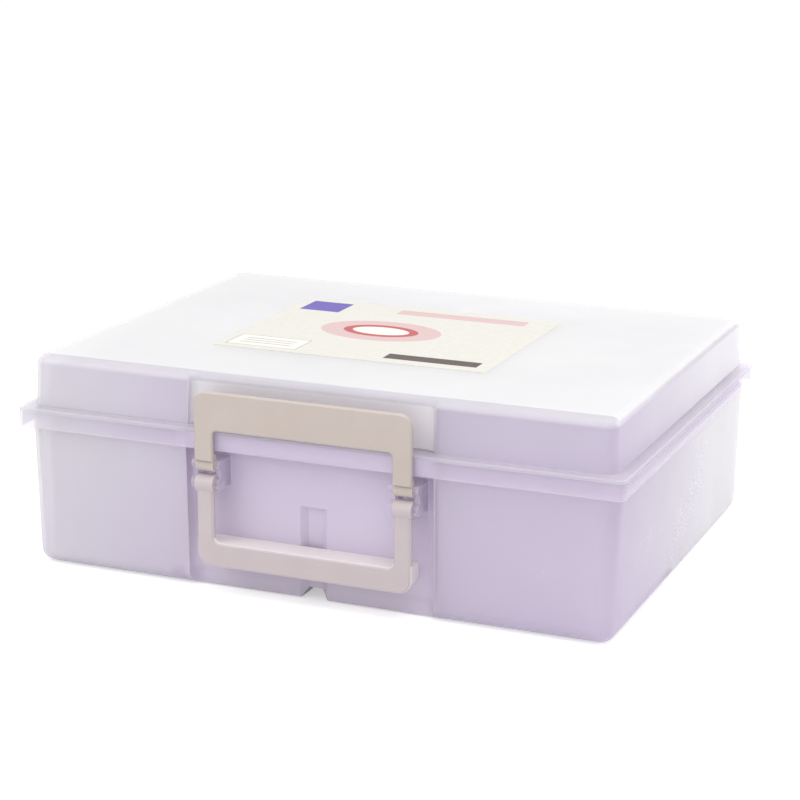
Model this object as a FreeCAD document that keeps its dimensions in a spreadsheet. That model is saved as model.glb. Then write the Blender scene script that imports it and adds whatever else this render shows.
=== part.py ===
import FreeCAD, Part
import Sketcher
import math
import os

# Photo keeper case: a clear tub and lid, a beige latch and carrying handle, a paper
# label, and sixteen lavender photo cases in two columns.
# Frame: X across the front, Y to the back, Z up. The origin is the middle of the
# case's footprint, on the surface that it stands on. Lengths are millimetres.

SIZES = {
    # case as a whole
    "case_tall": 130.0,
    "rim_tall": 97.0,
    "rim_wide": 372.0,
    "rim_deep": 282.0,
    "corner_round": 9.0,
    "tub_draft": 2.4,
    "tub_wall": 2.0,
    "floor_round": 9.0,
    # hollow flange round the tub's rim
    "flange_reach": 4.5,
    "flange_round": 5.5,
    "flange_thick": 2.0,
    "skirt_drop": 10.0,
    "flange_edge": 0.9,
    # bay in the front for the latch and handle
    "bay_wide": 156.0,
    "bay_deep": 9.0,
    "bay_round": 7.0,
    # channel under the floor and groove up the bay, between the two columns
    "channel_wide": 17.0,
    "channel_tall": 6.0,
    "channel_slope": 4.0,
    "groove_deep": 3.0,
    "groove_tall": 56.0,
    # lid
    "lid_inset": 2.2,
    "lid_lean": 1.9,
    "lid_wall": 2.0,
    "lid_round": 5.6,
    "lid_plate": 2.3,
    "lid_bay_deep": 5.0,
    "lip_drop": 4.0,
    "lip_wall": 1.6,
    "lip_gap": 0.6,
    # rear hinge
    "hinge_apart": 214.0,
    "hinge_down": 6.0,
    "hinge_pin_radius": 2.2,
    "knuckle_radius": 4.2,
    "knuckle_long": 24.0,
    "ear_thick": 4.0,
    "pin_gap": 0.1,
    "side_gap": 0.4,
    "notch_in": 4.4,
    "arm_deep": 6.8,
    # latch
    "latch_wide": 136.0,
    "latch_over_rim": 26.2,
    "latch_foot": 3.0,
    "latch_bar": 22.8,
    "latch_leg": 11.5,
    "latch_thick": 2.6,
    "latch_round": 7.0,
    "latch_window_round": 3.0,
    "latch_edge": 0.8,
    "latch_axis_down": 18.5,
    "latch_barrel": 4.0,
    "latch_lead": 1.0,
    "latch_front": 5.2,
    "latch_web": 7.0,
    "lip_over_rim": 0.5,
    "hook_tall": 3.0,
    "hook_gap": 0.4,
    # handle
    "handle_bottom": 17.3,
    "handle_bar": 14.5,
    "handle_leg": 10.5,
    "handle_thick": 3.0,
    "handle_round": 8.0,
    "handle_window_round": 4.0,
    "handle_edge": 1.2,
    "barrel_gap": 1.9,
    "handle_barrel": 5.5,
    "handle_front": 4.0,
    "grip_deep": 16.5,
    "grip_wall": 2.5,
    # ears in the bay that carry the latch and the handle
    "lug_thick": 3.0,
    "lug_gap": 0.3,
    "latch_pin_radius": 1.8,
    "latch_lug_radius": 2.8,
    "handle_pin_radius": 2.2,
    "handle_lug_radius": 3.5,
    # label
    "label_wide": 178.0,
    "label_deep": 143.0,
    "label_thick": 0.2,
    "label_left": 8.0,
    "label_back": 2.5,
    # photo cases
    "box_wide": 168.0,
    "box_tall": 120.0,
    "tray_deep": 24.0,
    "cover_deep": 7.0,
    "box_wall": 1.5,
    "box_bevel": 4.0,
    "box_gap": 0.3,
    "box_apart": 11.0,
    "box_floor_gap": 0.3,
    "stack_gap": 2.6,
    "clasp_tall": 24.0,
    "clasp_thick": 1.4,
    "clasp_gap": 0.3,
    "catch_out": 1.0,
    "catch_wide": 1.5,
    "catch_back": 3.0,
    # how far a cut runs past what it cuts
    "overrun": 5.0,
}
COLUMNS = 2
ROWS = 8

doc = FreeCAD.newDocument("photo_keeper_case")
sheet = doc.addObject("Spreadsheet::Sheet", "Sizes")
for row, (alias, length) in enumerate(SIZES.items(), start=1):
    sheet.set("A%d" % row, alias)
    sheet.set("B%d" % row, str(length))
    sheet.setAlias("B%d" % row, alias)
doc.recompute()


class Size:
    """A length as the sheet's expression and as its value."""

    def __init__(self, text, length):
        self.text = text
        self.length = length

    def __add__(self, other):
        other = as_size(other)
        return Size("(%s + %s)" % (self.text, other.text), self.length + other.length)

    def __sub__(self, other):
        other = as_size(other)
        return Size("(%s - %s)" % (self.text, other.text), self.length - other.length)

    def __mul__(self, factor):
        return Size("(%s * %s)" % (self.text, factor), self.length * factor)

    def __truediv__(self, factor):
        return Size("(%s / %s)" % (self.text, factor), self.length / factor)

    def __neg__(self):
        return Size("(0 - %s)" % self.text, -self.length)


def as_size(item):
    """Takes a Size as it is, and a plain number, such as 0, as a fixed one."""
    return item if isinstance(item, Size) else Size("%s" % item, float(item))


def size(alias):
    """The sheet's length of this name."""
    return Size("Sizes.%s" % alias, SIZES[alias])


def bind(item, path, length):
    """Ties one property of an object to a length."""
    item.setExpression(path, as_size(length).text)


def place(item, x=0, y=0, z=0):
    """Moves an object to a place given by lengths."""
    bind(item, "Placement.Base.x", x)
    bind(item, "Placement.Base.y", y)
    bind(item, "Placement.Base.z", z)
    return item


# Primitives and booleans

def box(name, wide, deep, tall, x, y, z):
    """A box from its low corner."""
    item = doc.addObject("Part::Box", name)
    bind(item, "Length", wide)
    bind(item, "Width", deep)
    bind(item, "Height", tall)
    return place(item, x, y, z)


def rod(name, radius, long, x, y, z):
    """A cylinder along X from its low end."""
    item = doc.addObject("Part::Cylinder", name)
    bind(item, "Radius", radius)
    bind(item, "Height", long)
    item.Placement.Rotation = FreeCAD.Rotation(FreeCAD.Vector(0, 1, 0), 90)
    return place(item, x, y, z)


def cut(name, base, tool):
    """What is left of base outside tool."""
    item = doc.addObject("Part::Cut", name)
    item.Base = base
    item.Tool = tool
    return item


def fuse(name, items):
    """All the items as one."""
    item = doc.addObject("Part::MultiFuse", name)
    item.Shapes = items
    item.Refine = True
    return item


# Sketched features

def origin_plane(body, role):
    """One of a body's own origin planes."""
    return [item for item in body.Origin.OriginFeatures if item.Role == role][0]


def new_body(name):
    """An empty body."""
    return doc.addObject("PartDesign::Body", name)


def new_sketch(body, name, role, height):
    """An empty sketch on an origin plane, raised along the plane's normal."""
    sketch = body.newObject("Sketcher::SketchObject", name)
    sketch.AttachmentSupport = (origin_plane(body, role), [""])
    sketch.MapMode = "FlatFace"
    bind(sketch, "AttachmentOffset.Base.z", height)
    return sketch


def dimension(sketch, kind, geometry, point, length):
    """Sets how far a point lies from the sketch's origin along one axis."""
    index = sketch.addConstraint(Sketcher.Constraint(kind, -1, 1, geometry, point, length.length))
    bind(sketch, "Constraints[%d]" % index, length)


def draw_rounded_rectangle(sketch, left, right, low, high, radius):
    """Draws a rectangle with rounded corners between four lengths."""
    x0, x1 = left.length, right.length
    y0, y1 = low.length, high.length
    r = radius.length
    vector = FreeCAD.Vector
    first = sketch.GeometryCount
    sides = [
        (vector(x0 + r, y0, 0), vector(x1 - r, y0, 0)),
        (vector(x1, y0 + r, 0), vector(x1, y1 - r, 0)),
        (vector(x1 - r, y1, 0), vector(x0 + r, y1, 0)),
        (vector(x0, y1 - r, 0), vector(x0, y0 + r, 0)),
    ]
    centres = [
        vector(x1 - r, y0 + r, 0),
        vector(x1 - r, y1 - r, 0),
        vector(x0 + r, y1 - r, 0),
        vector(x0 + r, y0 + r, 0),
    ]
    up = vector(0, 0, 1)
    for start, end in sides:
        sketch.addGeometry(Part.LineSegment(start, end), False)
    for turn, centre in enumerate(centres):
        start_angle = (turn - 1) * math.pi / 2
        end_angle = turn * math.pi / 2
        circle = Part.Circle(centre, up, r)
        sketch.addGeometry(Part.ArcOfCircle(circle, start_angle, end_angle), False)
    for side in range(4):
        line = first + side
        arc = first + 4 + side
        following = first + (side + 1) % 4
        sketch.addConstraint(Sketcher.Constraint("Tangent", line, 2, arc, 1))
        sketch.addConstraint(Sketcher.Constraint("Tangent", arc, 2, following, 1))
        sketch.addConstraint(Sketcher.Constraint("Horizontal" if side % 2 == 0 else "Vertical", line))
    for side in range(1, 4):
        sketch.addConstraint(Sketcher.Constraint("Equal", first + 4, first + 4 + side))
    index = sketch.addConstraint(Sketcher.Constraint("Radius", first + 4, r))
    bind(sketch, "Constraints[%d]" % index, radius)
    dimension(sketch, "DistanceX", first + 3, 1, left)
    dimension(sketch, "DistanceX", first + 1, 1, right)
    dimension(sketch, "DistanceY", first, 1, low)
    dimension(sketch, "DistanceY", first + 2, 1, high)


def rounded_sketch(body, name, role, height, left, right, low, high, radius):
    """A sketch of one rectangle with rounded corners."""
    sketch = new_sketch(body, name, role, height)
    draw_rounded_rectangle(sketch, left, right, low, high, radius)
    return sketch


def polygon_sketch(body, name, role, height, points):
    """A sketch of one closed outline through points given as pairs of lengths."""
    sketch = new_sketch(body, name, role, height)
    spots = [FreeCAD.Vector(across.length, up.length, 0) for across, up in points]
    for index, spot in enumerate(spots):
        sketch.addGeometry(Part.LineSegment(spot, spots[(index + 1) % len(spots)]), False)
    for index, (across, up) in enumerate(points):
        following = (index + 1) % len(points)
        sketch.addConstraint(Sketcher.Constraint("Coincident", index, 2, following, 1))
        dimension(sketch, "DistanceX", index, 1, across)
        dimension(sketch, "DistanceY", index, 1, up)
    return sketch


def rectangle_sketch(body, name, role, height, left, right, low, high):
    """A sketch of one rectangle with sharp corners."""
    return polygon_sketch(body, name, role, height, [(left, low), (right, low), (right, high), (left, high)])


def bevelled_sketch(body, name, role, height, left, right, low, high, bevel):
    """A sketch of one rectangle with its corners cut off at a slant."""
    return polygon_sketch(body, name, role, height, [
        (left + bevel, low), (right - bevel, low), (right, low + bevel), (right, high - bevel),
        (right - bevel, high), (left + bevel, high), (left, high - bevel), (left, low + bevel)])


def pad(body, sketch, long):
    """Adds material from a sketch, along its normal."""
    item = body.newObject("PartDesign::Pad", sketch.Name + "_pad")
    item.Profile = sketch
    bind(item, "Length", long)
    return item


def drafted_pad(body, sketch, long, spread, over):
    """Adds material whose sides spread outwards by one length over another."""
    item = pad(body, sketch, long)
    item.setExpression("TaperAngle", "atan(%s / %s)" % (spread.text, over.text))
    return item


def pocket(body, sketch, long, backwards=False):
    """Takes material away from a sketch, against its normal unless backwards."""
    item = body.newObject("PartDesign::Pocket", sketch.Name + "_pocket")
    item.Profile = sketch
    item.Reversed = backwards
    bind(item, "Length", long)
    return item


def edges_where(feature, test):
    """Names of the feature's edges whose bounding box passes the test."""
    names = []
    for index, edge in enumerate(feature.Shape.Edges, start=1):
        if test(edge.BoundBox):
            names.append("Edge%d" % index)
    return names


def fillet(body, feature, radius, test):
    """Rounds the edges of a feature that pass the test."""
    doc.recompute()
    item = body.newObject("PartDesign::Fillet", feature.Name + "_fillet")
    item.Base = (feature, edges_where(feature, test))
    bind(item, "Radius", radius)
    return item


def chamfer(body, feature, reach, test):
    """Cuts the edges of a feature that pass the test off at a slant."""
    doc.recompute()
    item = body.newObject("PartDesign::Chamfer", feature.Name + "_chamfer")
    item.Base = (feature, edges_where(feature, test))
    bind(item, "Size", reach)
    return item


NEAR = 0.01 * SIZES["tub_wall"]
# Inside a wall, a slant takes the place of the outside's round.
inner_slant_share = 0.45


def ease(body, feature, radius, inset, test):
    """Rounds an outer form's edges, or slants those of the form inside its wall."""
    if inset.length:
        chamfer(body, feature, (radius - inset) * inner_slant_share, test)
    else:
        fillet(body, feature, radius, test)


def flat_at(height):
    """A test for edges that lie level at this height."""
    return lambda bounds: abs(bounds.ZMin - height) < NEAR and abs(bounds.ZMax - height) < NEAR


# Shared places

WALL = size("tub_wall")
OVERRUN = size("overrun")
RIM_TALL = size("rim_tall")
HALF_WIDE = size("rim_wide") / 2
HALF_DEEP = size("rim_deep") / 2
FLANGE_FRONT = -(HALF_DEEP + size("flange_reach"))
FLANGE_BACK = HALF_DEEP + size("flange_reach")
PLATE_TOP = RIM_TALL + size("lid_plate")
# The tub's corners open out with its draft.
RIM_ROUND = size("corner_round") + size("tub_draft")
# The bay's wall stands upright, so it is measured from the rim.
BAY_WALL = -(HALF_DEEP - size("bay_deep"))
# The latch turns right above the handle.
AXES_Y = FLANGE_FRONT + size("latch_lead")
LATCH_AXIS_Z = RIM_TALL - size("latch_axis_down")
HANDLE_AXIS_Z = LATCH_AXIS_Z - size("latch_barrel") - size("barrel_gap") - size("handle_barrel")
LATCH_FACE = AXES_Y - size("latch_front")
HANDLE_FACE = AXES_Y - size("handle_front")
# The rear hinge reaches as far back as the handle's barrels reach forward.
HINGE_Y = size("handle_barrel") - AXES_Y - size("knuckle_radius")
HINGE_Z = RIM_TALL - size("hinge_down")


def tub_form(name, inset, floor, top):
    """The tub's outer form, or with an inset the form of what lies inside its wall."""
    body = new_body(name)
    lean = size("tub_draft")
    corner = size("corner_round") - inset
    shrink = lean + inset
    outline = rounded_sketch(
        body, name + "_floor", "XY_Plane", floor,
        -(HALF_WIDE - shrink), HALF_WIDE - shrink,
        -(HALF_DEEP - shrink), HALF_DEEP - shrink, corner)
    form = drafted_pad(body, outline, top - floor, lean, RIM_TALL)
    ease(body, form, size("floor_round"), inset, flat_at(floor.length))
    # The bay is drawn past the front, so that only its back corners are round.
    half_bay = size("bay_wide") / 2 + inset
    bay = rounded_sketch(
        body, name + "_bay", "XY_Plane", floor, -half_bay, half_bay,
        FLANGE_FRONT - size("bay_round") - OVERRUN, BAY_WALL + inset, size("bay_round") + inset)
    pocket(body, bay, top - floor, backwards=True)
    half = size("channel_wide") / 2 + inset
    # The channel narrows upwards and runs from the front to the back.
    channel_top = size("channel_tall") + inset
    narrow = half - size("channel_slope")
    channel = polygon_sketch(
        body, name + "_channel", "XZ_Plane", -FLANGE_FRONT,
        [(-half, as_size(0)), (half, as_size(0)), (narrow, channel_top), (-narrow, channel_top)])
    pocket(body, channel, FLANGE_BACK - FLANGE_FRONT)
    groove_back = BAY_WALL + size("groove_deep") + inset
    groove_front = BAY_WALL - OVERRUN
    groove = polygon_sketch(
        body, name + "_groove", "XY_Plane", 0,
        [(-half, BAY_WALL), (-half, groove_front), (half, groove_front), (half, BAY_WALL),
         (narrow, groove_back), (-narrow, groove_back)])
    pocket(body, groove, size("groove_tall") + inset, backwards=True)
    return body


def lid_form(name, inset, base, top):
    """The lid's outer form above the rim, or what lies inside its wall."""
    body = new_body(name)
    shrink = size("lid_inset") + inset
    round_top = size("lid_round")
    outline = rounded_sketch(
        body, name + "_base", "XY_Plane", base,
        -(HALF_WIDE - shrink), HALF_WIDE - shrink,
        -(HALF_DEEP - shrink), HALF_DEEP - shrink, size("corner_round") - inset)
    form = drafted_pad(body, outline, top - base, -size("lid_lean"), top - base)
    if not inset.length:
        lid_bay(body, name + "_bay", base, top, inset)
        fillet(body, body.Tip, round_top, flat_at(top.length))
        return body
    # Inside the bay's wall, a low step takes the place of the slant, and clears the outside's round.
    slant = (round_top - inset) * inner_slant_share
    chamfer(body, form, slant, flat_at(top.length))
    lid_bay(body, name + "_bay", base, top, inset)
    lid_bay(body, name + "_step", top - slant, top, inset + slant)
    return body


def lid_bay(body, name, low, top, inset):
    """Cuts the lid's bay between two levels."""
    bay_back = -(HALF_DEEP - size("lid_inset") - size("lid_bay_deep")) + inset
    half = size("bay_wide") / 2 + inset
    bay = rounded_sketch(
        body, name, "XY_Plane", low, -half, half,
        FLANGE_FRONT - size("bay_round") - OVERRUN, bay_back, size("bay_round") + inset)
    return pocket(body, bay, top - low, backwards=True)


def slab(name, reach, corner, low, tall, softened=None):
    """A level plate with the flange's outline. The edges at the softened level are eased."""
    body = new_body(name)
    outline = rounded_sketch(
        body, name + "_outline", "XY_Plane", low,
        -(HALF_WIDE + reach), HALF_WIDE + reach,
        -(HALF_DEEP + reach), HALF_DEEP + reach, corner)
    plate = pad(body, outline, tall)
    if softened:
        chamfer(body, plate, size("flange_edge"), flat_at(softened.length))
    return body


def both_sides(make, apart):
    """Makes the same thing on the left and on the right, half of apart from the middle."""
    return [make("left", -(apart / 2)), make("right", apart / 2)]


# Tub

def hinge_ears(side, middle):
    """A pair of ears behind the rim with a pin between them."""
    half = size("knuckle_long") / 2 + size("side_gap")
    thick = size("ear_thick")
    radius = size("knuckle_radius")
    root = HALF_DEEP - WALL
    items = []
    for end, start in (("a", middle - half - thick), ("b", middle + half)):
        items.append(rod("tub_ear_%s_%s_end" % (side, end), radius, thick, start, HINGE_Y, HINGE_Z))
        items.append(box("tub_ear_%s_%s_web" % (side, end), thick, HINGE_Y - root, radius * 2,
                         start, root, HINGE_Z - radius))
    items.append(rod("tub_hinge_pin_%s" % side, size("hinge_pin_radius"), (half + thick / 2) * 2,
                     middle - half - thick / 2, HINGE_Y, HINGE_Z))
    return items


def hinge_notch(side, middle):
    """The gap in the flange that the lid's knuckle drops into."""
    half = size("knuckle_long") / 2 + size("side_gap")
    return box("tub_notch_%s" % side, half * 2, size("flange_reach") + OVERRUN,
               size("skirt_drop") + OVERRUN * 2,
               middle - half, HINGE_Y - size("notch_in"), RIM_TALL - size("skirt_drop") - OVERRUN)


def front_lug(side, middle):
    """A pair of ears in the bay beside a leg, with pins across them for the latch and the handle."""
    thick = size("lug_thick")
    half = size("latch_leg") / 2 + size("lug_gap")
    wall_back = BAY_WALL + WALL / 2
    top = LATCH_AXIS_Z + size("latch_lug_radius")
    low = HANDLE_AXIS_Z - size("handle_lug_radius")
    axes = (("latch", LATCH_AXIS_Z), ("handle", HANDLE_AXIS_Z))
    items = []
    for end, start in (("a", middle - half - thick), ("b", middle + half)):
        items.append(box("tub_lug_%s_%s_web" % (side, end), thick, wall_back - AXES_Y, top - low,
                         start, AXES_Y, low))
        for axis, height in axes:
            items.append(rod("tub_lug_%s_%s_%s_end" % (side, end, axis), size("%s_lug_radius" % axis), thick,
                             start, AXES_Y, height))
    for axis, height in axes:
        items.append(rod("tub_%s_pin_%s" % (axis, side), size("%s_pin_radius" % axis),
                         (half + thick / 2) * 2, middle - half - thick / 2, AXES_Y, height))
    return items


LEGS_APART = size("latch_wide") - size("latch_leg")


def make_tub():
    """The tub: an outer form less the form inside its wall, with its rim and hinge ears."""
    outer = tub_form("tub_outer", as_size(0), as_size(0), RIM_TALL)
    reach = size("flange_reach")
    corner = size("flange_round")
    rim = slab("tub_rim", reach, corner, RIM_TALL - size("flange_thick"), size("flange_thick"))
    skirt_low = RIM_TALL - size("skirt_drop")
    skirt_outer = slab("tub_skirt_outer", reach, corner, skirt_low, size("skirt_drop"), skirt_low)
    # The skirt's inside corners are half as round, so that they keep clear of the tub's wall.
    skirt_inner = slab("tub_skirt_inner", reach - size("flange_thick"), corner / 2,
                       skirt_low - OVERRUN, size("skirt_drop") + OVERRUN * 2)
    skirt = cut("tub_skirt", skirt_outer, skirt_inner)
    shell = fuse("tub_shell", [outer, rim, skirt])
    notches = fuse("tub_notches", both_sides(hinge_notch, size("hinge_apart")))
    notched = cut("tub_notched", shell, notches)
    fittings = []
    for group in both_sides(hinge_ears, size("hinge_apart")) + both_sides(front_lug, LEGS_APART):
        fittings += group
    solid = fuse("tub_solid", [notched] + fittings)
    inside = tub_form("tub_inside", WALL, WALL, RIM_TALL + OVERRUN)
    return cut("tub", solid, inside)


# Lid

def lip_form(name, inset, past):
    """A low block that follows the tub's inside just below the rim, bay and all."""
    body = new_body(name)
    low = RIM_TALL - size("lip_drop") - past
    tall = size("lip_drop") + past * 2
    outline = rounded_sketch(
        body, name + "_outline", "XY_Plane", low,
        -(HALF_WIDE - inset), HALF_WIDE - inset,
        -(HALF_DEEP - inset), HALF_DEEP - inset, RIM_ROUND - inset)
    pad(body, outline, tall)
    bay = rounded_sketch(
        body, name + "_bay", "XY_Plane", low,
        -(size("bay_wide") / 2 + inset), size("bay_wide") / 2 + inset,
        FLANGE_FRONT - size("bay_round") - OVERRUN, BAY_WALL + inset, size("bay_round") + inset)
    pocket(body, bay, tall, backwards=True)
    return body


def knuckle(side, middle):
    """A knuckle round the hinge pin, on an arm below the lid's plate."""
    long = size("knuckle_long")
    radius = size("knuckle_radius")
    left = middle - long / 2
    ring = rod("lid_knuckle_%s_ring" % side, radius, long, left, HINGE_Y, HINGE_Z)
    back = HINGE_Y + radius
    front = back - size("arm_deep")
    arm = box("lid_knuckle_%s_arm" % side, long, back - front, PLATE_TOP - HINGE_Z, left, front, HINGE_Z)
    return fuse("lid_knuckle_%s_solid" % side, [ring, arm])


def make_lid():
    """The lid: a shallow form less the form inside its wall, with plate, lip and knuckles."""
    wall = size("lid_wall")
    top = size("case_tall")
    outer = lid_form("lid_outer", as_size(0), RIM_TALL, top)
    plate = slab("lid_plate_form", size("flange_reach"), size("flange_round"),
                 RIM_TALL, size("lid_plate"), PLATE_TOP)
    solid = fuse("lid_solid", [outer, plate] + both_sides(knuckle, size("hinge_apart")))
    inside = lid_form("lid_inside", wall, RIM_TALL, top - wall)
    opened = cut("lid_opened", solid, inside)
    bores = fuse("lid_bores", both_sides(
        lambda side, middle: rod("lid_bore_%s" % side, size("hinge_pin_radius") + size("pin_gap"),
                                 size("knuckle_long") + OVERRUN * 2,
                                 middle - size("knuckle_long") / 2 - OVERRUN, HINGE_Y, HINGE_Z),
        size("hinge_apart")))
    bored = cut("lid_bored", opened, bores)
    # A lip round the opening drops just inside the tub's wall and finds its place.
    lip_out = WALL + size("lip_gap")
    lip_outer = lip_form("lid_lip_outer", lip_out, as_size(0))
    lip_inner = lip_form("lid_lip_inner", lip_out + size("lip_wall"), OVERRUN)
    ring = cut("lid_lip_ring", lip_outer, lip_inner)
    # The lip ends short of the rear corners, so that it clears the rear wall as the lid turns.
    rear = box("lid_lip_rear", size("rim_wide"), RIM_ROUND * 2, size("lip_drop") + OVERRUN * 2,
               -HALF_WIDE, HALF_DEEP - RIM_ROUND * 2, RIM_TALL - size("lip_drop") - OVERRUN)
    lip = cut("lid_lip", ring, rear)
    return fuse("lid", [bored, lip])


# Latch

def make_latch():
    """An inverted U plate with a hook bead behind its bar and a barrel behind each foot."""
    half = size("latch_wide") / 2
    leg = size("latch_leg")
    thick = size("latch_thick")
    top = RIM_TALL + size("latch_over_rim")
    bottom = LATCH_AXIS_Z + size("latch_foot")
    low = bottom - size("latch_round") - OVERRUN
    plate = new_body("latch_plate")
    face = rounded_sketch(plate, "latch_face", "XZ_Plane", -(LATCH_FACE + thick),
                          -half, half, low, top, size("latch_round"))
    pad(plate, face, thick)
    window = rounded_sketch(plate, "latch_window", "XZ_Plane", -LATCH_FACE,
                            -(half - leg), half - leg, low - OVERRUN, top - size("latch_bar"),
                            size("latch_window_round"))
    pocket(plate, window, thick + OVERRUN)
    foot = rectangle_sketch(plate, "latch_foot", "XZ_Plane", -LATCH_FACE,
                            -(half + OVERRUN), half + OVERRUN, low - OVERRUN * 2, bottom)
    trimmed = pocket(plate, foot, thick + OVERRUN)
    front = LATCH_FACE.length
    chamfer(plate, trimmed, size("latch_edge"),
            lambda bounds: abs(bounds.YMin - front) < NEAR and abs(bounds.YMax - front) < NEAR)
    back = LATCH_FACE + thick
    hook_deep = FLANGE_FRONT - size("hook_gap") - back
    hook_long = size("latch_wide") - size("latch_round") * 2
    items = [plate, box("latch_hook", hook_long, hook_deep, size("hook_tall"),
                        -(hook_long / 2), back, PLATE_TOP + size("lip_over_rim"))]
    holes = []
    for side, middle in (("left", -(LEGS_APART / 2)), ("right", LEGS_APART / 2)):
        start = middle - leg / 2
        items.append(rod("latch_barrel_%s" % side, size("latch_barrel"), leg, start, AXES_Y, LATCH_AXIS_Z))
        items.append(box("latch_web_%s" % side, leg, AXES_Y - back, size("latch_web"),
                         start, back, LATCH_AXIS_Z))
        holes.append(rod("latch_bore_%s" % side, size("latch_pin_radius") + size("pin_gap"),
                         leg + OVERRUN * 2, start - OVERRUN, AXES_Y, LATCH_AXIS_Z))
    return cut("latch", fuse("latch_solid", items), fuse("latch_holes", holes))


# Handle

def make_handle():
    """A U with a channel-shaped grip at the bottom and a barrel at the top of each leg."""
    leg = size("handle_leg")
    half = LEGS_APART / 2 + leg / 2
    bottom = size("handle_bottom")
    thick = size("handle_thick")
    high = HANDLE_AXIS_Z + size("handle_round") + OVERRUN
    plate = new_body("handle_plate")
    face = rounded_sketch(plate, "handle_face", "XZ_Plane", -(HANDLE_FACE + thick),
                          -half, half, bottom, high, size("handle_round"))
    pad(plate, face, thick)
    window = rounded_sketch(plate, "handle_window", "XZ_Plane", -HANDLE_FACE,
                            -(half - leg), half - leg, bottom + size("handle_bar"), high + OVERRUN,
                            size("handle_window_round"))
    pocket(plate, window, thick + OVERRUN)
    head = rectangle_sketch(plate, "handle_head", "XZ_Plane", -HANDLE_FACE,
                            -(half + OVERRUN), half + OVERRUN, HANDLE_AXIS_Z, high + OVERRUN * 2)
    trimmed = pocket(plate, head, thick + OVERRUN)
    front = HANDLE_FACE.length
    top = HANDLE_AXIS_Z.length
    chamfer(plate, trimmed, size("handle_edge"),
            lambda bounds: abs(bounds.YMin - front) < NEAR and abs(bounds.YMax - front) < NEAR
            and bounds.ZMin < top - NEAR)
    grip = new_body("handle_grip")
    grip_top = bottom + size("handle_bar")
    grip_face = rounded_sketch(grip, "handle_grip_face", "XZ_Plane", -(HANDLE_FACE + size("grip_deep")),
                               -(half - thick / 2), half - thick / 2, bottom, grip_top + size("handle_round"),
                               size("handle_round"))
    pad(grip, grip_face, size("grip_deep") - thick / 2)
    level = rectangle_sketch(grip, "handle_grip_top", "XZ_Plane", -HANDLE_FACE,
                             -(half + OVERRUN), half + OVERRUN,
                             grip_top, grip_top + size("handle_round") + OVERRUN)
    pocket(grip, level, size("grip_deep") + OVERRUN)
    items = [plate, grip]
    wall = size("grip_wall")
    holes = [box("handle_hollow", (half - size("handle_round")) * 2,
                 size("grip_deep") - thick - wall, size("handle_bar") - wall + OVERRUN,
                 -(half - size("handle_round")), HANDLE_FACE + thick, bottom - OVERRUN)]
    # The barrels are as long as the latch's, so that one pair of ears holds both.
    long = size("latch_leg")
    for side, middle in (("left", -(LEGS_APART / 2)), ("right", LEGS_APART / 2)):
        start = middle - long / 2
        items.append(rod("handle_barrel_%s" % side, size("handle_barrel"), long, start, AXES_Y, HANDLE_AXIS_Z))
        holes.append(rod("handle_bore_%s" % side, size("handle_pin_radius") + size("pin_gap"),
                         long + OVERRUN * 2, start - OVERRUN, AXES_Y, HANDLE_AXIS_Z))
    return cut("handle", fuse("handle_solid", items), fuse("handle_holes", holes))


# Label

def make_label():
    """A paper label laid on the deck, a little left of the middle and towards the back."""
    return box("label", size("label_wide"), size("label_deep"), size("label_thick"),
               -(size("label_wide") / 2 + size("label_left")),
               -(size("label_deep") / 2 - size("label_back")), size("case_tall"))


# Photo cases

# The outer short side of the pattern is at X = box_wide, and carries the clasp. The
# inner short side is at X = 0, and carries the hinge. The tray's rim lies at Y = 0.

def make_tray():
    """A deep tray that stands on its long side, open to the front, with a catch for the clasp."""
    body = new_body("tray_form")
    wide = size("box_wide")
    tall = size("box_tall")
    deep = size("tray_deep")
    wall = size("box_wall")
    outline = bevelled_sketch(body, "tray_outline", "XZ_Plane", -deep,
                              as_size(0), wide, as_size(0), tall, size("box_bevel"))
    pad(body, outline, deep)
    inside = bevelled_sketch(body, "tray_inside", "XZ_Plane", as_size(0),
                             wall, wide - wall, wall, tall - wall, size("box_bevel") - wall / 2)
    pocket(body, inside, deep - wall)
    ridge = box("tray_catch", size("catch_out"), size("catch_wide"), size("clasp_tall"),
                wide, size("catch_back"), tall / 2 - size("clasp_tall") / 2)
    return fuse("tray_pattern", [body, ridge])


def make_cover():
    """A shallow cover for the tray, with a clasp on its outer short side."""
    body = new_body("cover_form")
    wide = size("box_wide")
    tall = size("box_tall")
    deep = size("cover_deep")
    wall = size("box_wall")
    outline = bevelled_sketch(body, "cover_outline", "XZ_Plane", as_size(0),
                              as_size(0), wide, as_size(0), tall, size("box_bevel"))
    pad(body, outline, deep)
    inside = bevelled_sketch(body, "cover_inside", "XZ_Plane", as_size(0),
                             wall, wide - wall, wall, tall - wall, size("box_bevel") - wall / 2)
    pocket(body, inside, deep - wall, backwards=True)
    low = tall / 2 - size("clasp_tall") / 2
    gap = size("clasp_gap")
    # The clasp's strap passes over the tray's catch, and its hook lies behind the catch.
    strap_in = size("catch_out") + gap
    hook_front = size("catch_back") + size("catch_wide") + gap
    root = box("clasp_root", strap_in + size("clasp_thick"), deep / 2, size("clasp_tall"), wide, -(deep / 2), low)
    strap = box("clasp_strap", size("clasp_thick"), hook_front + size("catch_wide") + deep / 2,
                size("clasp_tall"), wide + strap_in, -(deep / 2), low)
    hook = box("clasp_hook", strap_in + size("clasp_thick") - gap, size("catch_wide"), size("clasp_tall"),
               wide + gap, hook_front, low)
    return fuse("cover_pattern", [body, root, strap, hook])


doc.recompute()
tub = make_tub()
lid = make_lid()
latch = make_latch()
handle = make_handle()
label = make_label()
tray = make_tray()
cover = make_cover()
doc.recompute()

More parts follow.
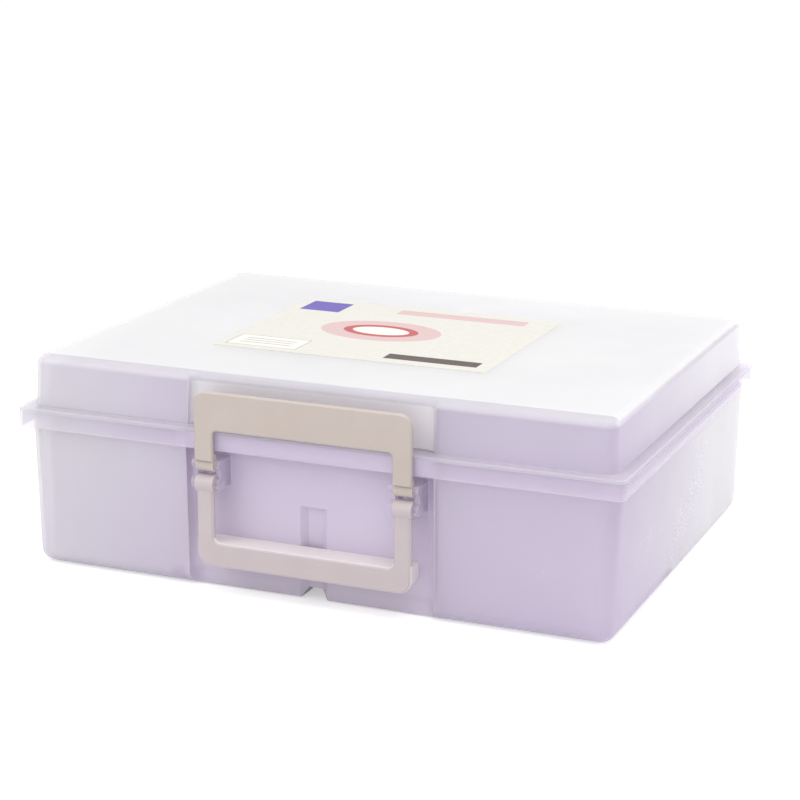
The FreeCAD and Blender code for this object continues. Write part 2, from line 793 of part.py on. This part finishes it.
pieces = {"tub": tub, "lid": lid, "latch": latch, "handle": handle, "label": label}
row_pitch = size("tray_deep") + size("cover_deep") + size("box_gap")
stack_front = BAY_WALL + WALL + size("lip_gap") + size("lip_wall") + size("stack_gap")
rim_of_first = stack_front + size("cover_deep")
for column in range(COLUMNS):
    for row in range(ROWS):
        number = column * ROWS + row + 1
        for kind, pattern in (("tray", tray), ("cover", cover)):
            name = "photo_case_%s_%02d" % (kind, number)
            item = doc.addObject("Part::Feature", name)
            # The left column is the right column's mirror image.
            shape = pattern.Shape.copy()
            if column == 0:
                shape = shape.mirror(FreeCAD.Vector(0, 0, 0), FreeCAD.Vector(1, 0, 0))
            item.Shape = shape
            aside = size("box_apart") if column else -size("box_apart")
            place(item, aside, rim_of_first + row_pitch * row, WALL + size("box_floor_gap"))
            pieces[name] = item
doc.recompute()

faults = []
for item in doc.Objects:
    if "Invalid" in item.State or "Error" in item.State:
        faults.append("%s: %s" % (item.Name, item.State))
for name, item in pieces.items():
    item.Label = name
    if item.Shape.isNull() or not item.Shape.isValid():
        faults.append("%s: no valid shape" % name)
if faults:
    raise RuntimeError("; ".join(faults))

os.makedirs("parts", exist_ok=True)
for name, item in pieces.items():
    item.Shape.exportStep("parts/%s.step" % name)
for name in ("tub", "lid", "latch", "handle", "label", "photo_case_tray_01", "photo_case_cover_01"):
    shape = pieces[name].Shape
    bounds = shape.BoundBox
    print("%-20s solids %d volume %.1f cm3 box %.1f %.1f %.1f to %.1f %.1f %.1f" % (
        name, len(shape.Solids), shape.Volume / 1000,
        bounds.XMin, bounds.YMin, bounds.ZMin, bounds.XMax, bounds.YMax, bounds.ZMax))
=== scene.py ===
# %% [markdown]
# # A clear photo keeper case
# The object is a clear, slightly hazy carrying case with a hinged lid, a beige latch,
# a beige carrying handle and sixteen lavender photo cases inside. The CAD model holds
# the true shapes. This script gives them their plastics, prints the label and sets up
# the room, the lamps and the camera.

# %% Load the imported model
import bpy
import math
from mathutils import Matrix, Vector


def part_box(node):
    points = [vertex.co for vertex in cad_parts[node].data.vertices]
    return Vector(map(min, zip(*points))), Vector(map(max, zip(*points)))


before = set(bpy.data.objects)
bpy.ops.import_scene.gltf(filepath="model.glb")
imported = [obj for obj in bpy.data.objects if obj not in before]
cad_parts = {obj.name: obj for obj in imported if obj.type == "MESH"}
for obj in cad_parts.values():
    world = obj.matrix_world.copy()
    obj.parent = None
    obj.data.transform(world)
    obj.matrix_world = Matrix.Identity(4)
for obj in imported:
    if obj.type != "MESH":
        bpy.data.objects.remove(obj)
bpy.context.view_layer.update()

# %% [markdown]
# ## Helpers for shader nodes
# A material is a small graph. A few helpers keep the graphs readable: one adds a node
# and sets its inputs, one links an output to an input, and two make and place a node
# group. Patterns read Object coordinates, which are metres in the CAD frame, so a
# pattern never slides on a piece.

# %% Node helpers
def add_node(tree, kind, at, inputs=None, **settings):
    """Adds one shader node, sets its options and its input values, and places it."""
    node = tree.nodes.new(kind)
    node.location = at
    for option, value in settings.items():
        setattr(node, option, value)
    for socket, value in (inputs or {}).items():
        node.inputs[socket].default_value = value
    return node


def link(tree, output, entry):
    """Joins an output socket to an input socket."""
    tree.links.new(output, entry)


def new_group(name, inputs, outputs):
    """An empty node group with named sockets. Returns the group, its entry and its exit."""
    group = bpy.data.node_groups.new(name, "ShaderNodeTree")
    for socket, kind, value in inputs:
        entry = group.interface.new_socket(socket, in_out="INPUT", socket_type=kind)
        if value is not None:
            entry.default_value = value
    for socket, kind in outputs:
        group.interface.new_socket(socket, in_out="OUTPUT", socket_type=kind)
    entry = add_node(group, "NodeGroupInput", (-900, 0))
    exit_ = add_node(group, "NodeGroupOutput", (700, 0))
    return group, entry, exit_


def place_group(tree, group, at, **inputs):
    """Puts a node group in a material, with its own values. Underscores stand for spaces."""
    node = add_node(tree, "ShaderNodeGroup", at, node_tree=group)
    for socket, value in inputs.items():
        node.inputs[socket.replace("_", " ")].default_value = value
    return node


print("node helpers ready")

# %% [markdown]
# ## Helpers for materials
# Every material of the case starts from one Principled BSDF, and its colour goes from
# one shade to another as a mask does, because no moulded or printed surface is quite
# even. A CAD node already has a slot with a plain material, which the finished one
# replaces.

# %% Material helpers
def new_material(name):
    """An empty material with a Principled BSDF and an Object coordinate node."""
    material = bpy.data.materials.new(name)
    material.use_nodes = True
    tree = material.node_tree
    tree.nodes.clear()
    shader = add_node(tree, "ShaderNodeBsdfPrincipled", (500, 0))
    output = add_node(tree, "ShaderNodeOutputMaterial", (800, 0))
    place = add_node(tree, "ShaderNodeTexCoord", (-1200, 0))
    link(tree, shader.outputs["BSDF"], output.inputs["Surface"])
    return material, tree, shader, place.outputs["Object"]


def two_shades(tree, mask, ends, low, high):
    """A colour that goes from one shade to another as a mask goes from end to end."""
    ramp = add_node(tree, "ShaderNodeValToRGB", (100, 400))
    for element, position, shade in zip(ramp.color_ramp.elements, ends, (low, high)):
        element.position = position
        element.color = (*shade, 1)
    link(tree, mask, ramp.inputs["Fac"])
    return ramp.outputs["Color"]


def lay_over(tree, at, mask, colour, shade):
    """Covers a colour with a plain shade where a mask is 1."""
    layer = add_node(tree, "ShaderNodeMix", at, data_type="RGBA")
    layer.inputs["B"].default_value = (*shade, 1)
    link(tree, mask, layer.inputs["Factor"])
    link(tree, colour, layer.inputs["A"])
    return layer.outputs["Result"]


def dress(names, material):
    """Puts a material in the slot of each named CAD node."""
    for name in names:
        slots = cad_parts[name].data.materials
        slots.clear()
        slots.append(material)
    print(material.name, "on", len(names), "nodes, the first is", names[0])


print("material helpers ready")

# %% [markdown]
# ## Moulded skin
# Injection moulded plastic is never quite even. Its gloss changes in soft clouds where
# the melt cooled at different speeds, and fine handling marks dull it. One group makes
# both, and every plastic here uses it with its own values: a slow noise for the clouds,
# a fast one for the grain, and a bump that joins them. A noise seldom leaves the middle
# of its range, so the ends that matter are named once.

# %% Group: moulded skin
noise_ends = (0.3, 0.7)
cloud_share, grain_share = 0.6, 0.4
skin, entry, exit_ = new_group(
    "moulded_skin",
    [("Place", "NodeSocketVector", None), ("Cloud Size", "NodeSocketFloat", 18.0),
     ("Grain Size", "NodeSocketFloat", 900.0), ("Gloss Low", "NodeSocketFloat", 0.2),
     ("Gloss High", "NodeSocketFloat", 0.4), ("Bump", "NodeSocketFloat", 0.05)],
    [("Roughness", "NodeSocketFloat"), ("Cloud", "NodeSocketFloat"), ("Normal", "NodeSocketVector")])
cloud = add_node(skin, "ShaderNodeTexNoise", (-600, 200), {"Detail": 3.0, "Roughness": 0.55})
grain = add_node(skin, "ShaderNodeTexNoise", (-600, -150), {"Detail": 2.0, "Roughness": 0.6})
for noise, scale in ((cloud, "Cloud Size"), (grain, "Grain Size")):
    link(skin, entry.outputs["Place"], noise.inputs["Vector"])
    link(skin, entry.outputs[scale], noise.inputs["Scale"])
blend = add_node(skin, "ShaderNodeMath", (-350, 50), {1: cloud_share}, operation="MULTIPLY")
link(skin, cloud.outputs["Fac"], blend.inputs[0])
mixed = add_node(skin, "ShaderNodeMath", (-150, 0), {1: grain_share}, operation="MULTIPLY_ADD")
link(skin, grain.outputs["Fac"], mixed.inputs[0])
link(skin, blend.outputs[0], mixed.inputs[2])
gloss = add_node(skin, "ShaderNodeMapRange", (100, 150),
                 {"From Min": noise_ends[0], "From Max": noise_ends[1]})
link(skin, mixed.outputs[0], gloss.inputs["Value"])
link(skin, entry.outputs["Gloss Low"], gloss.inputs["To Min"])
link(skin, entry.outputs["Gloss High"], gloss.inputs["To Max"])
bump = add_node(skin, "ShaderNodeBump", (350, -200), {"Distance": 0.0004})
link(skin, mixed.outputs[0], bump.inputs["Height"])
link(skin, entry.outputs["Bump"], bump.inputs["Strength"])
link(skin, gloss.outputs["Result"], exit_.inputs["Roughness"])
link(skin, cloud.outputs["Fac"], exit_.inputs["Cloud"])
link(skin, bump.outputs["Normal"], exit_.inputs["Normal"])
print("group:", skin.name)

# %% Skin on a shader
def wear_skin(tree, shader, place, **values):
    """Gives a shader the moulded skin's gloss and bump. Returns the cloud mask."""
    surface = place_group(tree, skin, (-600, 500), **values)
    link(tree, place, surface.inputs["Place"])
    link(tree, surface.outputs["Roughness"], shader.inputs["Roughness"])
    link(tree, surface.outputs["Normal"], shader.inputs["Normal"])
    return surface.outputs["Cloud"]


def drift(tree, cloud_mask, low, high):
    """A value that drifts between two levels as the clouds do."""
    level = add_node(tree, "ShaderNodeMapRange", (-200, 200),
                     {"From Min": noise_ends[0], "From Max": noise_ends[1], "To Min": low, "To Max": high})
    link(tree, cloud_mask, level.inputs["Value"])
    return level.outputs["Result"]


print("the skin's inputs:", [entry.name for entry in skin.interface.items_tree if entry.in_out == "INPUT"])

# %% [markdown]
# ## Slab mask
# Thick plastic looks whiter than thin plastic, and a hazy deck hides more than a clear
# wall. Light and shade that fall on the case are painted into it the same way, as paler
# or darker parts of the shell. A mask that is 1 between two levels along one axis, with
# soft ends, picks such parts out. It is the distance to the nearer level, divided by the
# softness. Slabs along two or three axes, multiplied, make a box, which is a zone of the
# shell.

# %% Group: slab mask
slab, entry, exit_ = new_group(
    "slab_mask",
    [("Value", "NodeSocketFloat", 0.0), ("Low", "NodeSocketFloat", 0.0),
     ("High", "NodeSocketFloat", 1.0), ("Soft", "NodeSocketFloat", 0.001)],
    [("Mask", "NodeSocketFloat")])
above = add_node(slab, "ShaderNodeMath", (-600, 150), operation="SUBTRACT")
below = add_node(slab, "ShaderNodeMath", (-600, -150), operation="SUBTRACT")
link(slab, entry.outputs["Value"], above.inputs[0])
link(slab, entry.outputs["Low"], above.inputs[1])
link(slab, entry.outputs["High"], below.inputs[0])
link(slab, entry.outputs["Value"], below.inputs[1])
nearer = add_node(slab, "ShaderNodeMath", (-350, 0), operation="MINIMUM")
link(slab, above.outputs[0], nearer.inputs[0])
link(slab, below.outputs[0], nearer.inputs[1])
scaled = add_node(slab, "ShaderNodeMath", (-100, 0), operation="DIVIDE")
link(slab, nearer.outputs[0], scaled.inputs[0])
link(slab, entry.outputs["Soft"], scaled.inputs[1])
half_at_level = add_node(slab, "ShaderNodeMath", (150, 0), {1: 0.5}, operation="ADD", use_clamp=True)
link(slab, scaled.outputs[0], half_at_level.inputs[0])
link(slab, half_at_level.outputs[0], exit_.inputs["Mask"])
print("group:", slab.name)

# %% Zones from slabs
def axes_of(tree, place):
    """The three coordinates of a place, by the names of their axes."""
    split = add_node(tree, "ShaderNodeSeparateXYZ", (-1000, -300))
    link(tree, place, split.inputs[0])
    return {name: split.outputs[name] for name in "XYZ"}


def zone_mask(tree, axes, soft, limits, across):
    """Is 1 inside all the limits and 0 outside them, with soft edges."""
    inside = None
    for along, (low, high) in limits.items():
        spot = place_group(tree, slab, (across, -700), Low=low, High=high, Soft=soft)
        link(tree, axes[along], spot.inputs["Value"])
        if inside is None:
            inside = spot.outputs["Mask"]
            continue
        joined = add_node(tree, "ShaderNodeMath", (across, -900), operation="MULTIPLY")
        link(tree, inside, joined.inputs[0])
        link(tree, spot.outputs["Mask"], joined.inputs[1])
        inside = joined.outputs[0]
    return inside


print("zone masks ready")

# %% [markdown]
# ## The clear shell
# The tub and the lid are clear plastic with a little haze, so the lavender cases show
# through as a soft colour. Glass with true refraction would need many light paths
# through four or more walls and would look dark and grainy. A partly covering surface,
# with Alpha, stays clean. Two levels steer it: the haze is how much the plastic covers,
# and the blush is how much of the cases' lavender it picks up, which paints in the
# lavender light that the haze scatters. Both start even over the whole piece, and zones
# then change them, each over the ones before it. Many zones paint light and shade: they
# make the shell paler where light falls and in recesses, to paint out their shade, and
# darker where shade falls.

# %% Material: clear shell
bare_shade, blush_shade = (0.93, 0.925, 0.935), (0.82, 0.725, 0.92)


def clear_shell(name, haze, blush, zones):
    """Clear plastic with an even haze and blush, which named zones then change."""
    material, tree, shader, place = new_material(name)
    axes = axes_of(tree, place)
    wide = add_node(tree, "ShaderNodeMath", (-800, -500), operation="ABSOLUTE")
    link(tree, axes["X"], wide.inputs[0])
    axes["WIDE"] = wide.outputs[0]
    fields = [None, None]
    for number, (zone_haze, zone_blush, soft, limits) in enumerate(zones.values()):
        across = 150 * number - 400
        inside = zone_mask(tree, axes, soft, limits, across)
        for row, (even, changed) in enumerate(((haze, zone_haze), (blush, zone_blush))):
            level = add_node(tree, "ShaderNodeMapRange", (across, -300 * row),
                             {"To Min": even, "To Max": changed})
            link(tree, inside, level.inputs["Value"])
            if fields[row]:
                link(tree, fields[row], level.inputs["To Min"])
            fields[row] = level.outputs["Result"]
    clouds = wear_skin(tree, shader, place, Cloud_Size=9.0, Grain_Size=700.0,
                       Gloss_Low=0.22, Gloss_High=0.28, Bump=0.004)
    alpha = add_node(tree, "ShaderNodeMath", (100, 100), operation="MULTIPLY", use_clamp=True)
    link(tree, fields[0], alpha.inputs[0])
    link(tree, drift(tree, clouds, 0.96, 1.04), alpha.inputs[1])
    link(tree, alpha.outputs[0], shader.inputs["Alpha"])
    colour = two_shades(tree, fields[1], (0.0, 1.0), bare_shade, blush_shade)
    link(tree, colour, shader.inputs["Base Color"])
    shader.inputs["IOR"].default_value = 1.5
    return material


print("the shell's shades:", bare_shade, blush_shade)

# %% [markdown]
# ## Places on the shell
# A zone is a box around a part of the case. Its limits come from the CAD pieces where
# they can be measured, such as the rim and the deck, and otherwise from the case's own
# sizes in metres. X runs to the right, Y to the hinge at the back and Z up. WIDE is the
# distance from the middle, so that one zone takes in both sides. A limit that is far
# away leaves that side open.

# %% Places on the shell
far = 1.0
lid_low, lid_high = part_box("lid")
rim_top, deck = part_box("tub")[1].z, lid_high.z
side_wall = lid_high.x - 0.0110
front_wall = lid_low.y + 0.0140
in_front = (-far, front_wall)
left_part, left_corner, left_rim = (-far, -0.1000), (-far, -side_wall), (-far, -0.1300)
corner_foot, foot_top, bay_foot_top = 0.045, 0.0095, 0.0130
skirt_foot, skirt_edge = rim_top - 0.0105, rim_top - 0.0093
bay = {"WIDE": (-far, 0.0768), "Y": (-far, front_wall + 0.008)}
ears = {"WIDE": (0.0526, 0.0719), "Y": (-far, -0.1324), "Z": (0.050, skirt_foot)}
print("rim at", round(rim_top, 4), "deck at", round(deck, 4), "front wall at", round(front_wall, 4))

# %% Zones of tub and lid
def zone(haze, blush, soft, **limits):
    """A part of the shell: its haze, its blush, how soft its edges are, and its limits."""
    return haze, blush, soft, limits


wall_zones = {
    # Painted light: the left of the front gets a whiter haze, where more light falls on it.
    "painted_light_left_of_front": zone(0.80, 0.0, 0.160, X=left_part, Y=in_front),
    "behind_front": zone(0.46, 0.80, 0.020, Y=(front_wall, far)),
    # Painted light: the sides grow whiter towards the back, where more light falls.
    "painted_light_back_of_sides": zone(0.85, 0.0, 0.200, WIDE=(side_wall - 0.040, far), Y=(-0.035, far)),
}
tub_zones = {
    # Painted highlight: a whiter upright band on the left corner.
    "corner": zone(0.72, 0.0, 0.006, X=left_corner, Y=in_front, Z=(corner_foot, far)),
    # Painted light: the recessed bay is paler and covers more, which paints out its shade.
    "bay": zone(0.80, 0.92, 0.003, **bay),
    # Painted lavender light from the cases at the foot, which also covers the floor's shade seen through
    # the wall.
    "foot": zone(0.45, 0.95, 0.006, X=(-0.0900, far), Y=(-far, -0.020), Z=(-far, foot_top)),
    # Painted light: the foot of the bay is paler, which lifts the shade under the handle.
    "painted_light_foot_of_bay": zone(0.80, 0.80, 0.012, **bay, Z=(-far, bay_foot_top)),
    "ears": zone(0.36, 0.90, 0.0004, **ears),
    "rim": zone(0.34, 0.80, 0.001, Z=(skirt_foot, far)),
    # Painted highlight: a whiter line along the lower edge of the skirt.
    "painted_highlight_edge_of_skirt": zone(0.40, 0.3, 0.0006, Z=(skirt_foot, skirt_edge)),
    # Painted light: the rim is whiter towards the left.
    "painted_light_left_of_rim": zone(0.50, 0.10, 0.080, X=left_rim, Z=(skirt_foot, far)),
    # Painted light: the rim at the bay is paler, which lifts the shade under the latch.
    "painted_light_rim_at_bay": zone(0.60, 0.95, 0.014, **bay, Z=(rim_top - 0.0120, far)),
}
lid_zones = {
    # Painted highlight: a whiter upright band on the left corner.
    "corner": zone(0.72, 0.0, 0.006, X=left_corner, Y=in_front),
    # Painted light: the lid's bay is paler and covers more, which paints out its shade above the latch.
    "bay": zone(0.92, 0.20, 0.003, **bay),
    # Painted light: the lid's plate at the rim is paler, which lifts the shade under its edge.
    "plate": zone(0.42, 0.35, 0.001, Z=(rim_top - 0.001, rim_top + 0.003)),
    # Painted light: the plate is whiter towards the left.
    "painted_light_left_of_plate": zone(0.50, 0.10, 0.080, X=left_rim, Z=(-far, rim_top + 0.003)),
    "edge_of_deck": zone(0.55, 0.35, 0.0015, Z=(deck - 0.0048, far)),
    "deck": zone(0.80, 0.0, 0.0015, Z=(deck - 0.0022, far)),
    # Painted shade: a darker band along the front edge of the deck's top.
    "painted_shade_front_of_deck": zone(0.60, 0.35, 0.002, Y=(-far, front_wall + 0.0025), Z=(deck - 0.0040, far)),
}
print("zones of the tub:", list(tub_zones), "zones of the lid:", list(lid_zones))

# %% Clear shell on tub and lid
dress(["tub"], clear_shell("clear_tub", 0.42, 0.72, {**wall_zones, **tub_zones}))
dress(["lid"], clear_shell("clear_lid", 0.42, 0.66, {**wall_zones, **lid_zones}))

# %% [markdown]
# ## Beige latch and handle
# Both are satin polypropylene, which is opaque, so the skin and two near shades are
# enough. The latch is a warm beige and the handle, from another batch, a little pinker.
# The upper face of the grip lies in full light and looks nearly white, so a zone paints
# that light into its colour as a paler shade, a painted highlight.

# %% Material: satin beige
# Painted highlight: the grip's upper face, paler where the light falls.
grip_top = {"Y": (-0.1476, -0.1300), "Z": (-far, 0.0345)}
grip_top_painted_light, grip_top_soft = (0.92, 0.86, 0.84), 0.0006


def satin_plastic(name, low, high, paler=None):
    """Satin plastic between two near shades. The limits of a painted highlight may be given."""
    material, tree, shader, place = new_material(name)
    clouds = wear_skin(tree, shader, place, Cloud_Size=30.0, Grain_Size=1400.0,
                       Gloss_Low=0.34, Gloss_High=0.52, Bump=0.10)
    colour = two_shades(tree, clouds, noise_ends, low, high)
    if paler:
        mask = zone_mask(tree, axes_of(tree, place), grip_top_soft, paler, -600)
        colour = lay_over(tree, (300, 200), mask, colour, grip_top_painted_light)
    link(tree, colour, shader.inputs["Base Color"])
    return material


dress(["latch"], satin_plastic("beige_latch", (0.595, 0.515, 0.47), (0.63, 0.55, 0.505)))
dress(["handle"], satin_plastic("beige_handle", (0.61, 0.53, 0.55), (0.65, 0.57, 0.585), grip_top))

# %% [markdown]
# ## Lavender photo cases
# The sixteen cases are tinted, see-through plastic. Their walls hide most of what is
# behind them, so a high Alpha is enough, and no light has to bend through them. Shade
# and Alpha both drift with the clouds of the skin, as the thickness of a wall does.

# %% Material: lavender plastic
def lavender_plastic():
    """Tinted plastic for the photo cases."""
    material, tree, shader, place = new_material("lavender_plastic")
    clouds = wear_skin(tree, shader, place, Cloud_Size=14.0, Grain_Size=900.0,
                       Gloss_Low=0.36, Gloss_High=0.50, Bump=0.012)
    colour = two_shades(tree, clouds, noise_ends, (0.79, 0.675, 0.90), (0.83, 0.715, 0.94))
    link(tree, colour, shader.inputs["Base Color"])
    link(tree, drift(tree, clouds, 0.80, 0.90), shader.inputs["Alpha"])
    return material


dress([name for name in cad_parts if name.startswith("photo_case")], lavender_plastic())

# %% [markdown]
# ## The paper label
# A cream paper label lies on the deck. Its print is a plain design of blocks and ovals,
# made from masks on Object coordinates, with a faint paper fibre in colour and bump. An
# image would do it too, but masks stay sharp at any distance. Each motif is given by its
# middle and its half sizes in millimetres, from the label's middle, and by its ink.

# %% Group: motif mask
motif, entry, exit_ = new_group(
    "motif_mask",
    [("Place", "NodeSocketVector", None), ("Middle", "NodeSocketVector", (0.0, 0.0, 0.0)),
     ("Half", "NodeSocketVector", (0.01, 0.01, 1.0)), ("Soft", "NodeSocketFloat", 0.0003)],
    [("Block", "NodeSocketFloat"), ("Oval", "NodeSocketFloat")])
offset = add_node(motif, "ShaderNodeVectorMath", (-650, 0), operation="SUBTRACT")
link(motif, entry.outputs["Place"], offset.inputs[0])
link(motif, entry.outputs["Middle"], offset.inputs[1])
distance = add_node(motif, "ShaderNodeVectorMath", (-450, 100), operation="ABSOLUTE")
link(motif, offset.outputs[0], distance.inputs[0])
to_edge = add_node(motif, "ShaderNodeVectorMath", (-250, 100), operation="SUBTRACT")
link(motif, entry.outputs["Half"], to_edge.inputs[0])
link(motif, distance.outputs[0], to_edge.inputs[1])
parts = add_node(motif, "ShaderNodeSeparateXYZ", (-50, 100))
link(motif, to_edge.outputs[0], parts.inputs[0])
least = add_node(motif, "ShaderNodeMath", (150, 100), operation="MINIMUM")
link(motif, parts.outputs["X"], least.inputs[0])
link(motif, parts.outputs["Y"], least.inputs[1])
block = add_node(motif, "ShaderNodeMapRange", (350, 100), {"From Min": 0.0})
link(motif, least.outputs[0], block.inputs["Value"])
link(motif, entry.outputs["Soft"], block.inputs["From Max"])
link(motif, block.outputs["Result"], exit_.inputs["Block"])
share = add_node(motif, "ShaderNodeVectorMath", (-250, -200), operation="DIVIDE")
link(motif, offset.outputs[0], share.inputs[0])
link(motif, entry.outputs["Half"], share.inputs[1])
flat = add_node(motif, "ShaderNodeVectorMath", (-50, -200), {1: (1.0, 1.0, 0.0)}, operation="MULTIPLY")
link(motif, share.outputs[0], flat.inputs[0])
reach = add_node(motif, "ShaderNodeVectorMath", (150, -200), operation="LENGTH")
link(motif, flat.outputs[0], reach.inputs[0])
oval = add_node(motif, "ShaderNodeMapRange", (350, -200),
                {"From Min": 1.0, "From Max": 0.98, "To Min": 0.0, "To Max": 1.0})
link(motif, reach.outputs["Value"], oval.inputs["Value"])
link(motif, oval.outputs["Result"], exit_.inputs["Oval"])
print("group:", motif.name)

# %% The label's print
label_low, label_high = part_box("label")
label_middle = (label_low + label_high) / 2
brown, grey, violet = (0.055, 0.028, 0.02), (0.45, 0.43, 0.42), (0.10, 0.06, 0.42)
red, pink, cream = (0.50, 0.06, 0.06), (0.72, 0.50, 0.50), (0.90, 0.88, 0.82)
label_print = [
    ("Block", 26, 56, 44, 6, pink),
    ("Oval", -8, 2, 40, 26, pink),
    ("Oval", -8, 2, 25, 15, red),
    ("Oval", -8, 2, 19, 10, cream),
    ("Block", 50, -56, 30, 6, brown),
    ("Block", -68, 52, 14, 13, violet),
    ("Block", -60, -52, 24, 13, grey),
    ("Block", -60, -52, 23.2, 12.2, cream),
    ("Block", -60, -47, 17, 0.8, grey),
    ("Block", -60, -52, 17, 0.8, grey),
    ("Block", -60, -57, 17, 0.8, grey),
]
print("motifs of the label:", len(label_print))

# %% Material: label paper
fibre_ends = (0.35, 0.65)
paper_low, paper_high = (0.75, 0.725, 0.655), (0.80, 0.78, 0.72)
mm = 1 / 1000


def label_paper():
    """Coated paper with a printed design of blocks and ovals."""
    material, tree, shader, place = new_material("label_paper")
    fibre = add_node(tree, "ShaderNodeTexNoise", (-900, 500),
                     {"Scale": 260.0, "Detail": 6.0, "Roughness": 0.65})
    link(tree, place, fibre.inputs["Vector"])
    colour = two_shades(tree, fibre.outputs["Fac"], fibre_ends, paper_low, paper_high)
    for number, (form, right, back, half_wide, half_deep, ink) in enumerate(label_print):
        spot = place_group(tree, motif, (-650, 200 - 220 * number),
                           Middle=(label_middle.x + right * mm, label_middle.y + back * mm, 0.0),
                           Half=(half_wide * mm, half_deep * mm, 1.0))
        link(tree, place, spot.inputs["Place"])
        at = (40 * number - 300, 200 - 60 * number)
        colour = lay_over(tree, at, spot.outputs[form], colour, ink)
    link(tree, colour, shader.inputs["Base Color"])
    relief = add_node(tree, "ShaderNodeBump", (250, -300), {"Strength": 0.15, "Distance": 0.0002})
    link(tree, fibre.outputs["Fac"], relief.inputs["Height"])
    link(tree, relief.outputs["Normal"], shader.inputs["Normal"])
    coating = add_node(tree, "ShaderNodeMapRange", (250, -100), {"To Min": 0.34, "To Max": 0.5})
    link(tree, fibre.outputs["Fac"], coating.inputs["Value"])
    link(tree, coating.outputs["Result"], shader.inputs["Roughness"])
    return material


dress(["label"], label_paper())

# %% [markdown]
# ## Floor
# The case stands on a pale, matt floor. A floor that is white enough to meet the white
# room without a line would need lamps that bleach the case, so it glows a little
# instead, and only for the camera. The shadow of the case still shows on it.

# %% Floor
floor_wide, floor_level = 12.0, -0.0006
floor_glow = 0.44
bpy.ops.object.select_all(action="DESELECT")
bpy.ops.mesh.primitive_plane_add(size=floor_wide, location=(0, 0, floor_level))
floor = bpy.context.active_object
floor.name = "studio_floor"
floor_material = bpy.data.materials.new("studio_floor")
floor_material.use_nodes = True
tree = floor_material.node_tree
tree.nodes.clear()
matt = add_node(tree, "ShaderNodeBsdfDiffuse", (-200, 100), {"Color": (0.90, 0.90, 0.90, 1)})
seen = add_node(tree, "ShaderNodeLightPath", (-600, -200))
glow = add_node(tree, "ShaderNodeEmission", (-200, -100))
brightness = add_node(tree, "ShaderNodeMath", (-400, -200), {1: floor_glow}, operation="MULTIPLY")
link(tree, seen.outputs["Is Camera Ray"], brightness.inputs[0])
link(tree, brightness.outputs[0], glow.inputs["Strength"])
both = add_node(tree, "ShaderNodeAddShader", (50, 0))
link(tree, matt.outputs[0], both.inputs[0])
link(tree, glow.outputs[0], both.inputs[1])
output = add_node(tree, "ShaderNodeOutputMaterial", (250, 0))
link(tree, both.outputs[0], output.inputs["Surface"])
floor.data.materials.append(floor_material)
print("floor", floor.dimensions[:])

# %% [markdown]
# ## White room
# The room is the world's plain background. The camera, glossy reflections and rays that
# pass through plastic see it pure white. The light that it throws on matt surfaces is
# dimmer, so that pale plastic keeps its colour.

# %% White room
room_light = 0.64
world = bpy.data.worlds.new("white_room")
bpy.context.scene.world = world
world.use_nodes = True
tree = world.node_tree
tree.nodes.clear()
seen = add_node(tree, "ShaderNodeLightPath", (-800, 0))
seen_or_shiny = add_node(tree, "ShaderNodeMath", (-600, 0), operation="MAXIMUM")
link(tree, seen.outputs["Is Camera Ray"], seen_or_shiny.inputs[0])
link(tree, seen.outputs["Is Glossy Ray"], seen_or_shiny.inputs[1])
any_ray = add_node(tree, "ShaderNodeMath", (-400, 0), operation="MAXIMUM")
link(tree, seen_or_shiny.outputs[0], any_ray.inputs[0])
link(tree, seen.outputs["Is Transmission Ray"], any_ray.inputs[1])
strength = add_node(tree, "ShaderNodeMapRange", (-200, 0), {"To Min": room_light, "To Max": 1.0})
link(tree, any_ray.outputs[0], strength.inputs["Value"])
sky = add_node(tree, "ShaderNodeBackground", (0, 0), {"Color": (1, 1, 1, 1)})
link(tree, strength.outputs["Result"], sky.inputs["Strength"])
output = add_node(tree, "ShaderNodeOutputWorld", (200, 0))
link(tree, sky.outputs[0], output.inputs["Surface"])
print("world", world.name)

# %% [markdown]
# ## Lamps
# Three large area lamps give plain, soft light: one overhead, one low behind the right
# side, which brightens it, and one before the left of the front. A large lamp has soft
# shadows, and three weak ones keep the colours as they are written.

# %% Lamps
def soft_lamp(name, place, aim, size, watts):
    """A square area lamp at a place, turned to its aim."""
    data = bpy.data.lights.new(name, "AREA")
    data.size = size
    data.energy = watts
    lamp = bpy.data.objects.new(name, data)
    bpy.context.scene.collection.objects.link(lamp)
    lamp.location = place
    lamp.rotation_euler = (Vector(aim) - Vector(place)).to_track_quat("-Z", "Y").to_euler()


soft_lamp("overhead_lamp", (0.3, -0.4, 1.7), (0, 0, 0), 1.2, 12.0)
soft_lamp("right_lamp", (0.85, 0.75, 0.45), (0.15, 0.1, 0.05), 0.7, 4.5)
soft_lamp("front_lamp", (-1.0, -1.1, 1.0), (0, 0, 0.06), 0.9, 5.2)

# %% [markdown]
# ## Camera
# The camera stands where the photograph was taken: to the right of the front and a
# little above, with a long lens. Its turn is built from the direction it looks back
# along, and a slight roll.

# %% Camera
camera_place = Vector((0.5089, -1.2299, 0.4471))
swing, height, roll = math.radians(22.516), math.radians(15.095), math.radians(0.317)
back = Vector((math.sin(swing) * math.cos(height), -math.cos(swing) * math.cos(height),
               math.sin(height)))
level = Vector((math.cos(swing), math.sin(swing), 0))
upright = back.cross(level)
across = math.cos(roll) * level + math.sin(roll) * upright
upward = math.cos(roll) * upright - math.sin(roll) * level
camera_data = bpy.data.cameras.new("photo_camera")
camera_data.sensor_width = 36.0
camera_data.lens = 98.64
camera_data.clip_start = 0.05
camera_data.clip_end = 50.0
camera = bpy.data.objects.new("photo_camera", camera_data)
bpy.context.scene.collection.objects.link(camera)
turn = Matrix((across, upward, back)).transposed().to_4x4()
camera.matrix_world = Matrix.Translation(camera_place) @ turn
bpy.context.scene.camera = camera
print("camera at", [round(v, 4) for v in camera.location], "lens", camera_data.lens)

# %% [markdown]
# ## Colour
# The Standard view shows a colour as it is written, where a film-like view would dull
# it.

# %% Colour
bpy.context.scene.view_settings.view_transform = "Standard"
